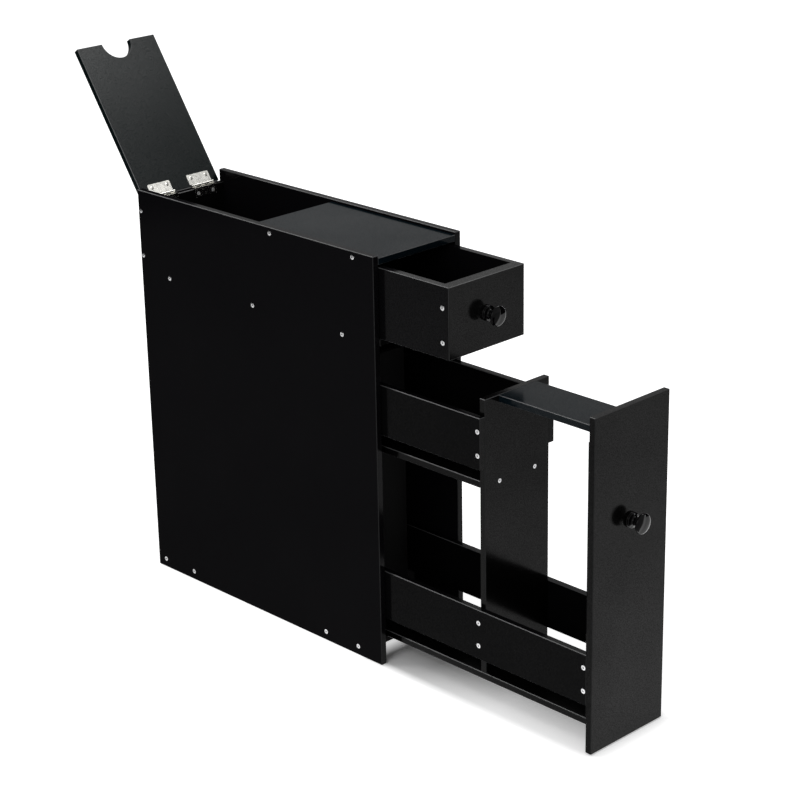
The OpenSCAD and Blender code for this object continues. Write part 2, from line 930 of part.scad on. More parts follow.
module middle_shelf() {
    length = rear_board_front - divider_back;
    color([0.09, 0.09, 0.095])
        in_slide_out()
        difference() {
            centred_board([core_width, length, board], divider_back, middle_shelf_underside);
            at_divider_front() face_screw_hole();
            at_rear_board() face_screw_hole();
        }
}

module bottom_board() {
    length = slide_out_length - board;
    color([0.09, 0.09, 0.095])
        in_slide_out()
        difference() {
            centred_board([core_width, length, board], board, bottom_board_underside);
            at_underside() face_screw_hole();
        }
}

module left_middle_slat() {
    color([0.05, 0.05, 0.055])
        in_slide_out()
        slat(-1, divider_setback, middle_slat_underside, middle_slat_spots);
}

module right_middle_slat() {
    color([0.05, 0.05, 0.055])
        in_slide_out()
        slat(1, divider_setback, middle_slat_underside, middle_slat_spots);
}

module left_bottom_slat() {
    color([0.05, 0.05, 0.055])
        in_slide_out()
        slat(-1, board, bottom_slat_underside, bottom_slat_spots);
}

module right_bottom_slat() {
    color([0.05, 0.05, 0.055])
        in_slide_out()
        slat(1, board, bottom_slat_underside, bottom_slat_spots);
}

module runner(side) {
    length = slide_out_length - board;
    translate([side * runner_spread / 2, 0, 0])
        centred_board([runner_width, length, runner_height], board, runner_underside);
}

module left_runner() {
    color([0.05, 0.05, 0.055]) in_slide_out() runner(-1);
}

module right_runner() {
    color([0.05, 0.05, 0.055]) in_slide_out() runner(1);
}

module tall_knob() {
    color([0.02, 0.02, 0.02])
        in_slide_out()
        translate([0, 0, tall_knob_height])
        facing_front()
        knob();
}

module tall_knob_screw() {
    color([0.75, 0.76, 0.78])
        in_slide_out()
        translate([0, 2 * board, tall_knob_height])
        facing_back()
        knob_screw(2 * board);
}

module slat_screws(side) {
    at_side(side, moving_width, concat(bottom_slat_spots, middle_slat_spots)) board_screw();
}

module left_slat_screws() {
    color([0.75, 0.76, 0.78]) in_slide_out() slat_screws(-1);
}

module right_slat_screws() {
    color([0.75, 0.76, 0.78]) in_slide_out() slat_screws(1);
}

module divider_screws() {
    color([0.75, 0.76, 0.78])
        in_slide_out() {
            at_divider_front() face_screw();
            at_divider_back() face_screw();
        }
}

module rear_board_screws() {
    color([0.75, 0.76, 0.78]) in_slide_out() at_rear_board() face_screw();
}

module front_board_screws() {
    color([0.75, 0.76, 0.78]) in_slide_out() at_inner_board() front_screw();
}

module underside_screws() {
    color([0.75, 0.76, 0.78]) in_slide_out() at_underside() face_screw();
}

left_side_panel();
right_side_panel();
top_panel();
shelf_panel();
upper_back_panel();
front_stretcher();
rear_stretcher();
left_case_screws();
right_case_screws();
left_fixed_leaf();
right_fixed_leaf();
left_hinge_pin();
right_hinge_pin();
fixed_leaf_screws();
lid_panel();
left_lid_leaf();
right_lid_leaf();
lid_leaf_screws();
drawer_front();
drawer_left_side();
drawer_right_side();
drawer_back();
drawer_bottom();
drawer_knob();
drawer_knob_screw();
drawer_screws();
tall_front();
inner_board();
divider_panel();
rear_board();
top_shelf();
middle_shelf();
bottom_board();
left_middle_slat();
right_middle_slat();
left_bottom_slat();
right_bottom_slat();
left_runner();
right_runner();
tall_knob();
tall_knob_screw();
left_slat_screws();
right_slat_screws();
divider_screws();
rear_board_screws();
front_board_screws();
underside_screws();
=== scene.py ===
# %% [markdown]
# # A slim black cabinet, dressed around its CAD frame
#
# The cabinet's boards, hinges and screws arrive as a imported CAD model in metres, already in place.
# This file adds what CAD does not carry: the finish of every surface, the turned knobs, real screw
# heads, a pale studio and the camera. The CAD objects stay where they are. Only their materials
# change, and a few small nodes are replaced by finer pieces that sit in the same place.

import json
import math

import bmesh
import bpy
from mathutils import Matrix, Vector

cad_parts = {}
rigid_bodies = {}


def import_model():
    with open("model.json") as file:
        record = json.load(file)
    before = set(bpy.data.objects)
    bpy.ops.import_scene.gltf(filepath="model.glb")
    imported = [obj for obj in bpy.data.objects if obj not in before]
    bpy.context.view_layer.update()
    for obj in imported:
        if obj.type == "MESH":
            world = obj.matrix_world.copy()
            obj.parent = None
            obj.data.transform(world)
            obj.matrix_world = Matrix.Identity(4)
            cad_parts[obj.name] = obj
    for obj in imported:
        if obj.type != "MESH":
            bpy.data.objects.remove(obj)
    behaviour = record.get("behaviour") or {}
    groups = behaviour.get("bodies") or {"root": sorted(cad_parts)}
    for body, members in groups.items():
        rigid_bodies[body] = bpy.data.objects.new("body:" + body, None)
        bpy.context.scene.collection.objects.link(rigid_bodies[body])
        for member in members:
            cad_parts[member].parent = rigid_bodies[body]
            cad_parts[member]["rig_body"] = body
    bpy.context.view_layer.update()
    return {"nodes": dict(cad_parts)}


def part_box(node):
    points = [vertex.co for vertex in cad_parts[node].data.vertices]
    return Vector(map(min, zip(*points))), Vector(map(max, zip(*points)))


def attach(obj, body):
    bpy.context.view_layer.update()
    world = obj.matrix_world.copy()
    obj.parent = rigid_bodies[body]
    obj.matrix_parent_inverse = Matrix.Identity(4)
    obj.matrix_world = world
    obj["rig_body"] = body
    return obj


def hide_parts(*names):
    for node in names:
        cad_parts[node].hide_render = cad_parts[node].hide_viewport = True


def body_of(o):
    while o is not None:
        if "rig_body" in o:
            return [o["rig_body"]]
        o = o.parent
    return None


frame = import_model()
nodes = frame["nodes"]
scene = bpy.context.scene
bpy.ops.object.select_all(action="DESELECT")

# %% [markdown]
# ## The camera
#
# A photograph fixes a camera completely: where it stands, where it looks, how it is rolled and how
# long its lens is. Those values were found by fitting the corners of the boards in the photo. The
# view direction is written as an azimuth, an elevation and a small roll, so that it can be read.
# A Track To constraint could aim the camera as well, but it leaves no place for the roll. So a
# matrix is built from the three axes: a camera in Blender looks along its own -Z.

# %% Place the camera
camera_place = Vector((-1.97636, -2.11994, 1.43027))
camera_azimuth = math.radians(-44.075)
camera_elevation = math.radians(20.744)
camera_roll = math.radians(1.066)
sensor_width = 36.0
lens_length = 102.132

view_back = Vector((
    math.sin(camera_azimuth) * math.cos(camera_elevation),
    -math.cos(camera_azimuth) * math.cos(camera_elevation),
    math.sin(camera_elevation),
))
level_right = (-view_back).cross(Vector((0, 0, 1))).normalized()
level_down = (-view_back).cross(level_right)
view_right = math.cos(camera_roll) * level_right + math.sin(camera_roll) * level_down
view_down = math.cos(camera_roll) * level_down - math.sin(camera_roll) * level_right

camera_data = bpy.data.cameras.new("photo_camera")
camera_data.sensor_width = sensor_width
camera_data.lens = lens_length
camera_data.clip_end = 60
camera = bpy.data.objects.new("photo_camera", camera_data)
scene.collection.objects.link(camera)
camera.matrix_world = Matrix.Translation(camera_place) @ Matrix(
    (view_right, -view_down, view_back)
).transposed().to_4x4()
scene.camera = camera
print("camera stands", round(camera_place.length, 2), "m from the foot of the cabinet")

# %% [markdown]
# ## Small helpers for shader nodes
#
# A material is a small graph. Writing each node and each wire on a line of its own gets long, so
# four helpers add a node with its settings, join two sockets, map a value from one range to
# another, and do one sum. Everything else stays plain Blender Python.

# %% Node helpers
def add_node(tree, kind, place, **settings):
    """Adds one shader node at a place in the graph and sets its properties."""
    new = tree.nodes.new(kind)
    new.location = place
    for name, value in settings.items():
        setattr(new, name, value)
    return new


def wire(tree, source, target):
    """Joins an output socket to an input socket."""
    tree.links.new(source, target)


def shrink_range(tree, value, low, high, out_low, out_high, place):
    """Maps a value from one range to another and clamps it there."""
    ranger = add_node(tree, "ShaderNodeMapRange", place, clamp=True)
    ranger.inputs["From Min"].default_value = low
    ranger.inputs["From Max"].default_value = high
    ranger.inputs["To Min"].default_value = out_low
    ranger.inputs["To Max"].default_value = out_high
    wire(tree, value, ranger.inputs["Value"])
    return ranger.outputs["Result"]


def calculate(tree, operation, values, place, **settings):
    """Adds one Math node; each of its values is an output socket or a plain number."""
    step = add_node(tree, "ShaderNodeMath", place, operation=operation, **settings)
    for socket, value in zip(step.inputs, values):
        if isinstance(value, bpy.types.NodeSocket):
            wire(tree, value, socket)
        else:
            socket.default_value = value
    return step.outputs[0]


print("node helpers:", [helper.__name__ for helper in (add_node, wire, shrink_range, calculate)])

# %% [markdown]
# ## The studio
#
# The photo is a shop picture: white floor, white background and a soft grey shadow. The floor is a
# large flat sheet. Its white comes from its own colour plus a glow that only camera, mirror and
# glass rays see, so no extra light falls on the cabinet and the soft shadow under it is kept.
#
# The camera sees the paper as pure white. The glow on top of it is strong everywhere but in the
# strip of floor under the slide-out, because the shadow there is the only one in the photo. The weak
# glow there is a painted shadow: that strip stays darker even when the slide-out is pushed in.
# Mirrors see a glow that fades away from the cabinet, a painted pool of light round it like the
# light on a real floor, so the tall front gets darker towards its top. The world behind is white for
# the same rays.
#
# The glow could be one plain number, but then either the shadow would fill in or the floor round
# it would turn grey. So its strength follows the place on the floor, measured from the cabinet.

# %% Floor and backdrop
floor_size = 9.0
floor_drop = 0.0004

bpy.ops.mesh.primitive_plane_add(size=floor_size, location=(0, 0, -floor_drop))
floor = bpy.context.object
floor.name = "studio_floor"
bpy.ops.object.transform_apply(location=True, rotation=True, scale=True)
print("floor of", floor_size, "m")

# %% Which rays see the glow
def seen_in_mirror_or_glass(tree, rays, place):
    """1 for rays that come from a mirror or through glass, and 0 for all others."""
    return calculate(
        tree, "MAXIMUM", (rays.outputs["Is Glossy Ray"], rays.outputs["Is Transmission Ray"]), place
    )


paper_for_light, paper_for_camera = 0.8, 1.0
print("paper is", paper_for_light, "white to the lamps and", paper_for_camera, "to the camera")

# %% Floor paper
floor_white = bpy.data.materials.new("floor_white")
floor_white.use_nodes = True
tree = floor_white.node_tree
tree.nodes.clear()
out = add_node(tree, "ShaderNodeOutputMaterial", (800, 0))
paper = add_node(tree, "ShaderNodeBsdfDiffuse", (200, 200))
rays = add_node(tree, "ShaderNodeLightPath", (-700, -200))
camera_ray = rays.outputs["Is Camera Ray"]
wire(
    tree,
    shrink_range(tree, camera_ray, 0, 1, paper_for_light, paper_for_camera, (0, 200)),
    paper.inputs["Color"],
)
floor_place = add_node(tree, "ShaderNodeTexCoord", (-900, 100)).outputs["Object"]
floor_axes = add_node(tree, "ShaderNodeSeparateXYZ", (-700, 400))
wire(tree, floor_place, floor_axes.inputs[0])
print("floor material", floor_white.name)

# %% Glow for the camera, with a painted shadow under the slide-out
strip_half_width = (0.068, 0.086)
strip_half_length = (0.19, 0.215)
strip_middle_y = -0.29
open_floor_glow = 0.62
front_glow, back_glow = 0.27, 0.0
fade_from_y, fade_to_y = -0.31, -0.17

# In the strip the glow stays low: a painted shadow, darkest near the cabinet, lighter to the front.
sideways = calculate(tree, "ABSOLUTE", [floor_axes.outputs["X"]], (-500, 500))
beside = shrink_range(tree, sideways, *strip_half_width, 0, 1, (-300, 500))
lengthways = calculate(tree, "ADD", (floor_axes.outputs["Y"], -strip_middle_y), (-500, 350))
from_middle = calculate(tree, "ABSOLUTE", [lengthways], (-400, 350))
beyond = shrink_range(tree, from_middle, *strip_half_length, 0, 1, (-300, 350))
outside_painted_shadow = calculate(tree, "MAXIMUM", (beside, beyond), (-100, 450))
painted_shadow_glow = shrink_range(
    tree, floor_axes.outputs["Y"], fade_from_y, fade_to_y, front_glow, back_glow, (-300, 200)
)
seen_glow = add_node(tree, "ShaderNodeMix", (100, 350), data_type="FLOAT")
seen_glow.inputs["B"].default_value = open_floor_glow
wire(tree, outside_painted_shadow, seen_glow.inputs["Factor"])
wire(tree, painted_shadow_glow, seen_glow.inputs["A"])
for_camera = calculate(tree, "MULTIPLY", (seen_glow.outputs["Result"], camera_ray), (-100, 100))
print("camera glow", front_glow, "under the slide-out and", open_floor_glow, "beside it")

# %% Glow for mirrors: a painted pool of light that fades away from the cabinet
glow_middle = (0.0, -0.3, 0.0)
near_distance, far_distance = 0.25, 0.75
near_glow, far_glow = 0.6, 0.2

from_cabinet = add_node(tree, "ShaderNodeVectorMath", (-700, 0), operation="DISTANCE")
wire(tree, floor_place, from_cabinet.inputs[0])
from_cabinet.inputs[1].default_value = glow_middle
distance = from_cabinet.outputs["Value"]
# The floor glows for mirrors most near the cabinet: a painted pool of light, seen only in reflections.
mirrored_light_pool = shrink_range(
    tree, distance, near_distance, far_distance, near_glow, far_glow, (-450, -50)
)
mirror_or_glass = seen_in_mirror_or_glass(tree, rays, (-500, -250))
glow = add_node(tree, "ShaderNodeEmission", (200, -100))
glow.inputs["Color"].default_value = (1, 1, 1, 1)
wire(
    tree,
    calculate(tree, "MULTIPLY_ADD", (mirrored_light_pool, mirror_or_glass, for_camera), (0, -100)),
    glow.inputs["Strength"],
)
both = add_node(tree, "ShaderNodeAddShader", (500, 0))
wire(tree, paper.outputs[0], both.inputs[0])
wire(tree, glow.outputs[0], both.inputs[1])
wire(tree, both.outputs[0], out.inputs["Surface"])
floor.data.materials.append(floor_white)
print("mirror glow", near_glow, "near the cabinet and", far_glow, "far away")

# %% World
world_for_light, world_for_eyes = 0.55, 1.0

studio = bpy.data.worlds.new("white_studio")
scene.world = studio
studio.use_nodes = True
tree = studio.node_tree
tree.nodes.clear()
out = add_node(tree, "ShaderNodeOutputWorld", (600, 0))
surround = add_node(tree, "ShaderNodeBackground", (300, 0))
surround.inputs["Color"].default_value = (1, 1, 1, 1)
rays = add_node(tree, "ShaderNodeLightPath", (-500, 0))
mirror_or_glass = seen_in_mirror_or_glass(tree, rays, (-300, -100))
seen = calculate(tree, "MAXIMUM", (rays.outputs["Is Camera Ray"], mirror_or_glass), (-150, 0))
wire(
    tree,
    shrink_range(tree, seen, 0, 1, world_for_light, world_for_eyes, (50, 0)),
    surround.inputs["Strength"],
)
wire(tree, surround.outputs[0], out.inputs["Surface"])
scene.view_settings.view_transform = "Standard"
print("world", studio.name, "is white for the camera and for mirrors")

# %% [markdown]
# ## Soft light and dark cards
#
# A black cabinet shows its form by what it mirrors, so it matters more where a lamp stands than
# how strong it is. A large lamp high at the back left draws the thin bright lines along the upper
# board edges. One high at the front right is mirrored by the upper half of the open lid. Two weaker
# ones at the sides keep the floor even. All are square area lamps that point at the cabinet.
#
# One strong lamp would be simpler, but it would show as one hard white patch on the boards, and it
# would throw a hard shadow. Large lamps give the soft edges of the photo.
#
# Two large black cards do the opposite. They stand outside the picture, at the front right and at
# the back left, where the fronts and the left side would otherwise mirror an empty white room.
# Below the cards those faces still mirror the white floor, so they get lighter towards the bottom.

# %% Lamps
look_at = Vector((0, 0, 0.35))


def soft_lamp(name, place, size, power):
    """One square area lamp that points at the middle of the cabinet."""
    data = bpy.data.lights.new(name, "AREA")
    data.shape = "SQUARE"
    data.size = size
    data.energy = power
    lamp = bpy.data.objects.new(name, data)
    scene.collection.objects.link(lamp)
    aim = (look_at - Vector(place)).to_track_quat("-Z", "Y")
    lamp.matrix_world = Matrix.Translation(Vector(place)) @ aim.to_matrix().to_4x4()


soft_lamp("lamp_back_left", (-1.3, 2.3, 2.9), 2.2, 42)
soft_lamp("lamp_front_right", (1.35, -0.6, 2.67), 0.7, 9)
soft_lamp("lamp_left", (-2.6, -0.9, 1.8), 1.6, 22)
soft_lamp("lamp_right", (2.4, -0.6, 1.4), 1.4, 8)

# %% Black cloth for the cards
threads_per_metre = 40
darkest, lightest = (0.004, 0.004, 0.004, 1), (0.010, 0.010, 0.010, 1)


def new_material(name):
    """A new finish, its graph and its Principled shader."""
    made = bpy.data.materials.new(name)
    made.use_nodes = True
    return made, made.node_tree, made.node_tree.nodes["Principled BSDF"]


def blend_colours(tree, first, second, factor, place):
    """Mixes two colours by a mask; the first may be an output socket."""
    mix = add_node(tree, "ShaderNodeMix", place, data_type="RGBA")
    if isinstance(first, bpy.types.NodeSocket):
        wire(tree, first, mix.inputs["A"])
    else:
        mix.inputs["A"].default_value = first
    mix.inputs["B"].default_value = second
    wire(tree, factor, mix.inputs["Factor"])
    return mix.outputs["Result"]


def noise(tree, vector, scale, detail, place):
    """A noise texture that reads places on the piece, and its value."""
    texture = add_node(tree, "ShaderNodeTexNoise", place)
    texture.inputs["Scale"].default_value = scale
    texture.inputs["Detail"].default_value = detail
    wire(tree, vector, texture.inputs["Vector"])
    return texture.outputs["Fac"]


black_cloth, tree, shader = new_material("black_cloth")
shader.inputs["Specular IOR Level"].default_value = 0.0
shader.inputs["Roughness"].default_value = 1.0
on_card = add_node(tree, "ShaderNodeTexCoord", (-700, 0)).outputs["Object"]
weave = noise(tree, on_card, threads_per_metre, 2, (-450, 0))
wire(tree, blend_colours(tree, darkest, lightest, weave, (-150, 0)), shader.inputs["Base Color"])
print("cloth", black_cloth.name)


# %% Dark cards
def dark_card(name, place, width, height):
    """One upright black card whose face looks at the cabinet and that the camera never sees."""
    turn = math.atan2(place[1], place[0]) + math.pi / 2
    bpy.ops.object.select_all(action="DESELECT")
    bpy.ops.mesh.primitive_plane_add(size=1, location=place, rotation=(math.pi / 2, 0, turn))
    card = bpy.context.object
    card.name = name
    card.scale = (width, height, 1)
    bpy.ops.object.transform_apply(location=True, rotation=True, scale=True)
    card.data.materials.append(black_cloth)
    card.visible_camera = False


dark_card("card_front_right", (1.775, -0.83, 1.08), 1.7, 2.1)
dark_card("card_back_left", (-1.25, 1.6, 0.75), 2.6, 1.4)

# %% [markdown]
# ## What foil-covered board looks like close up
#
# The boards are chipboard under a printed black foil. Close up the foil has a fine pebbled skin,
# its rounded long edges get a painted highlight, a little lighter than the faces, and broad faint
# smudges change its gloss. Four small node groups make these effects once, and every board material
# uses them with its own values. An image of foil could show the same, but it would need unwrapped
# faces and would look the same on every board.
#
# The first group is the pebbled skin: two sizes of noise that tilt the surface normal, and a fine
# grain that makes the gloss uneven from one dot to the next.

# %% Group: foil skin
pebble_size = 0.0009
pebble_depth = 0.00002
pebble_softness = 0.6
waves_per_metre = 55
wave_share = 3.0
grains_per_metre = 800
grain_spread = (0.25, 0.75)
grain_low, grain_high = 0.5, 1.5


def new_group(name, inputs, outputs):
    """An empty shader node group whose sockets all carry plain numbers."""
    group = bpy.data.node_groups.new(name, "ShaderNodeTree")
    for socket, value in inputs.items():
        made = group.interface.new_socket(socket, in_out="INPUT", socket_type="NodeSocketFloat")
        made.default_value = value
    for socket in outputs:
        group.interface.new_socket(socket, in_out="OUTPUT", socket_type="NodeSocketFloat")
    entry = add_node(group, "NodeGroupInput", (-900, 0))
    leave = add_node(group, "NodeGroupOutput", (900, 0))
    return group, entry, leave


foil_skin, entry, leave = new_group(
    "foil_skin", {"Pebble Size": pebble_size, "Depth": pebble_depth}, ["Height", "Grain"]
)
on_piece = add_node(foil_skin, "ShaderNodeTexCoord", (-900, 300)).outputs["Object"]
per_metre = calculate(foil_skin, "DIVIDE", (1.0, entry.outputs["Pebble Size"]), (-700, 100))
pebbles = add_node(foil_skin, "ShaderNodeTexVoronoi", (-400, 200), feature="SMOOTH_F1")
pebbles.inputs["Smoothness"].default_value = pebble_softness
wire(foil_skin, on_piece, pebbles.inputs["Vector"])
wire(foil_skin, per_metre, pebbles.inputs["Scale"])
waviness = noise(foil_skin, on_piece, waves_per_metre, 1, (-400, -100))
waves = calculate(foil_skin, "MULTIPLY", (waviness, wave_share), (-150, -100))
summed = calculate(foil_skin, "ADD", (pebbles.outputs["Distance"], waves), (100, 100))
height = calculate(foil_skin, "MULTIPLY", (summed, entry.outputs["Depth"]), (350, 100))
wire(foil_skin, height, leave.inputs["Height"])
grain = noise(foil_skin, on_piece, grains_per_metre, 1, (-400, -350))
wire(
    foil_skin,
    shrink_range(foil_skin, grain, *grain_spread, grain_low, grain_high, (-100, -350)),
    leave.inputs["Grain"],
)
print("group", foil_skin.name)

# %% [markdown]
# The second group finds the small bevels along the board edges, which carry a painted highlight.
# A bevel is the only flat part of a board whose normal is not along one of the board's three
# directions, so the largest component of the normal tells them apart. The open lid leans, so the
# group first turns the normal back by the lid's angle. A little noise breaks the line at random.
# Edges that stand upright take only a share of the painted highlight: light reaches them less than
# the ones that face up.
#
# Geometry's Pointiness could find edges too, but it needs a fine mesh, and a CAD board is a few
# large faces.

# %% Group: board edges
slanted, square_on = 0.8, 0.97
facing_up = 0.5
upright_share = 0.3
edge_unevenness = 0.35
chips_per_metre = 140


def size_of_normal(group, surface, lean):
    """How far a surface faces X, Y and Z, from 0 to 1, once a leaning board is turned upright."""
    upright = add_node(group, "ShaderNodeVectorRotate", (-650, 200), rotation_type="X_AXIS")
    wire(group, surface.outputs["Normal"], upright.inputs["Vector"])
    wire(group, lean, upright.inputs["Angle"])
    positive = add_node(group, "ShaderNodeVectorMath", (-450, 200), operation="ABSOLUTE")
    wire(group, upright.outputs[0], positive.inputs[0])
    parts = add_node(group, "ShaderNodeSeparateXYZ", (-250, 200))
    wire(group, positive.outputs[0], parts.inputs[0])
    return parts.outputs


board_edges, entry, leave = new_group(
    "board_edges",
    {"Lean": 0.0, "Unevenness": edge_unevenness, "Upright Share": upright_share},
    ["Mask"],
)
surface = add_node(board_edges, "ShaderNodeTexCoord", (-900, 300))
along_x, along_y, along_z = size_of_normal(board_edges, surface, entry.outputs["Lean"])
larger = calculate(board_edges, "MAXIMUM", (along_x, along_y), (-50, 250))
largest = calculate(board_edges, "MAXIMUM", (larger, along_z), (100, 200))
bevel = shrink_range(board_edges, largest, slanted, square_on, 1, 0, (280, 200))
broken = noise(board_edges, surface.outputs["Object"], chips_per_metre, 3, (-250, -150))
uneven = calculate(board_edges, "MULTIPLY", (broken, entry.outputs["Unevenness"]), (0, -150))
kept = calculate(board_edges, "SUBTRACT", (1.0, uneven), (200, -150), use_clamp=True)
masked = calculate(board_edges, "MULTIPLY", (bevel, kept), (500, 100))
# Upright edges take only a share of the painted highlight, and edges that face up take all of it.
facing_up_share = add_node(board_edges, "ShaderNodeMapRange", (280, 450), clamp=True)
facing_up_share.inputs["From Max"].default_value = facing_up
wire(board_edges, along_z, facing_up_share.inputs["Value"])
wire(board_edges, entry.outputs["Upright Share"], facing_up_share.inputs["To Min"])
lit = calculate(board_edges, "MULTIPLY", (masked, facing_up_share.outputs["Result"]), (700, 200))
wire(board_edges, lit, leave.inputs["Mask"])
print("group", board_edges.name)

# %% [markdown]
# The third group tells which way a face of a board looks. Foil is pressed on in long runs, and its
# skin differs between the wide faces and the narrow bands that are glued on the edges. So each
# board takes its own gloss for faces that look to the front, to the side, and up or down. A
# material for each face would do that as well, but then every board's faces need sorting by hand.

# %% Group: facing
directions = ("Side", "Front", "Level")
facing, entry, leave = new_group("facing", {"Lean": 0.0}, directions)
surface = add_node(facing, "ShaderNodeTexCoord", (-900, 300))
components = size_of_normal(facing, surface, entry.outputs["Lean"])
for row, direction in enumerate(directions):
    place = (100, 300 - 200 * row)
    share = shrink_range(facing, components[row], slanted, square_on, 0, 1, place)
    wire(facing, share, leave.inputs[direction])
print("group", facing.name)

# %% [markdown]
# The fourth group is use: broad smudges from hands that change the gloss, and a few fine specks of
# dust. It puts out one mask for each, and a material decides how much of either it takes. Smudges
# could be painted on an image, but noise covers every board without unwrapping one of them.

# %% Group: handling
smudge_roughness = 0.55
smudge_spread = (0.35, 0.7)
dusty_patches = (0.5, 0.62)
speck_rim = (0.05, 0.12)

handling, entry, leave = new_group(
    "handling", {"Smudge Scale": 9.0, "Speck Scale": 420.0}, ["Smudges", "Specks"]
)
on_piece = add_node(handling, "ShaderNodeTexCoord", (-900, 200)).outputs["Object"]
smudge = add_node(handling, "ShaderNodeTexNoise", (-500, 200))
smudge.inputs["Detail"].default_value = 4
smudge.inputs["Roughness"].default_value = smudge_roughness
wire(handling, on_piece, smudge.inputs["Vector"])
wire(handling, entry.outputs["Smudge Scale"], smudge.inputs["Scale"])
wire(
    handling,
    shrink_range(handling, smudge.outputs["Fac"], *smudge_spread, 0, 1, (-200, 200)),
    leave.inputs["Smudges"],
)
specks = add_node(handling, "ShaderNodeTexVoronoi", (-500, -200), feature="F1")
wire(handling, on_piece, specks.inputs["Vector"])
wire(handling, entry.outputs["Speck Scale"], specks.inputs["Scale"])
small = shrink_range(handling, specks.outputs["Distance"], *speck_rim, 1, 0, (-200, -200))
patchy = shrink_range(handling, smudge.outputs["Fac"], *dusty_patches, 0, 1, (-200, -400))
settled = calculate(handling, "MULTIPLY", (small, patchy), (100, -250))
wire(handling, settled, leave.inputs["Specks"])
print("group", handling.name)

# %% [markdown]
# ## The board finishes
#
# All boards share one recipe with different numbers. Under the gloss the foil is nearly black. What
# the eye sees is mostly a clear coat that mirrors the white studio, so the recipe takes one coat
# strength for faces that look to the front, one for the sides and one for level faces. The small
# bevels have a strong coat and a lighter colour, a painted highlight that draws the thin lines
# along every edge.
#
# One glossy material for all boards would be simpler. But each board takes its own colour and
# coats, set to how light or dark it shows, so the foils are lit and shaded copies of one black
# foil, and on something this dark that is most of what tells one board from the next.

# %% Laminate recipe
lid_lean = math.radians(124.5)
# The edge greys are the colours of the painted highlight on the bevels.
edge_grey = (0.060, 0.061, 0.062)
inner_edge_grey = (0.03, 0.03, 0.031)
drawer_edge_grey = (0.14, 0.141, 0.143)
dust_colour = (0.03, 0.029, 0.028, 1)
dust_share = 0.5
foil_roughness, smudged_roughness = 0.42, 0.55
bevel_coat = 0.6
clean_coat, smudged_coat = 1.06, 0.9


def laminate(name, colour, coats, edge_colour=edge_grey, lean=0.0, coat_roughness=0.15):
    """A black foil finish for boards; coats holds the coat for front, side and level faces."""
    made, tree, shader = new_material(name)
    shader.location = (700, 0)
    shader.inputs["Specular IOR Level"].default_value = 0.0
    shader.inputs["Coat Roughness"].default_value = coat_roughness
    skin = add_node(tree, "ShaderNodeGroup", (-300, -500), node_tree=foil_skin)
    edges = add_node(tree, "ShaderNodeGroup", (-600, 300), node_tree=board_edges)
    edges.inputs["Lean"].default_value = lean
    looks = add_node(tree, "ShaderNodeGroup", (-600, -250), node_tree=facing)
    looks.inputs["Lean"].default_value = lean
    use = add_node(tree, "ShaderNodeGroup", (-600, 50), node_tree=handling)
    edge, smudges = edges.outputs["Mask"], use.outputs["Smudges"]

    # The bevels get a lighter colour: a painted highlight along the edges.
    painted_edge_highlight = blend_colours(tree, (*colour, 1), (*edge_colour, 1), edge, (-100, 350))
    dust = shrink_range(tree, use.outputs["Specks"], 0, 1, 0, dust_share, (-100, 150))
    dusty = blend_colours(tree, painted_edge_highlight, dust_colour, dust, (150, 300))
    wire(tree, dusty, shader.inputs["Base Color"])
    rough = shrink_range(tree, smudges, 0, 1, foil_roughness, smudged_roughness, (150, 50))
    wire(tree, rough, shader.inputs["Roughness"])

    coat = shrink_range(tree, edge, 0, 1, 0, bevel_coat, (0, -50))
    for row, (direction, strength) in enumerate(zip(("Front", "Side", "Level"), coats)):
        values = (looks.outputs[direction], strength, coat)
        coat = calculate(tree, "MULTIPLY_ADD", values, (150, -100 - 60 * row))
    grainy = calculate(tree, "MULTIPLY", (coat, skin.outputs["Grain"]), (300, -150))
    smeared = shrink_range(tree, smudges, 0, 1, clean_coat, smudged_coat, (300, -350))
    rubbed = calculate(tree, "MULTIPLY", (grainy, smeared), (450, -150), use_clamp=True)
    wire(tree, rubbed, shader.inputs["Coat Weight"])
    relief = add_node(tree, "ShaderNodeBump", (450, -500))
    relief.inputs["Distance"].default_value = 1.0
    wire(tree, skin.outputs["Height"], relief.inputs["Height"])
    wire(tree, relief.outputs["Normal"], shader.inputs["Normal"])
    return made


print("laminate recipe: base colour, dust, roughness, coat and relief")

# %% One foil for each kind of board
# Base colours are lit and shaded copies of one black foil; the rear board's is painted light.
side_foil = laminate("side_foil", (0.0031, 0.0029, 0.0035), (0.26, 0.050, 0.22))
slat_foil = laminate("slat_foil", (0.0022, 0.0022, 0.0024), (0.30, 0.088, 0.22))
drawer_side_foil = laminate("drawer_side_foil", (0.0026, 0.0025, 0.0029), (0.30, 0.13, 0.34))
drawer_front_foil = laminate(
    "drawer_front_foil", (0.0030, 0.0030, 0.0030), (0.38, 0.16, 0.29), drawer_edge_grey
)
tall_front_foil = laminate("tall_front_foil", (0.0020, 0.0020, 0.0020), (0.42, 0.18, 0.26))
divider_foil = laminate("divider_foil", (0.0016, 0.0016, 0.0016), (0.30, 0.26, 0.26))
top_foil = laminate("top_foil", (0.0020, 0.0047, 0.0067), (0.30, 0.24, 0.22))
shelf_foil = laminate("shelf_foil", (0.0012, 0.0012, 0.0012), (0.30, 0.20, 0.16))
lid_foil = laminate(
    "lid_foil", (0.0026, 0.0054, 0.0056), (0.40, 0.20, 0.37), lean=lid_lean, coat_roughness=0.25
)
inner_foil = laminate("inner_foil", (0.0028, 0.0028, 0.0029), (0.10, 0.06, 0.10), inner_edge_grey)
lit_rear_foil = laminate("lit_rear_foil", (0.0260, 0.0260, 0.0262), (0.30, 0.06, 0.10), inner_edge_grey)
print("board finishes", [m.name for m in bpy.data.materials if "foil" in m.name])

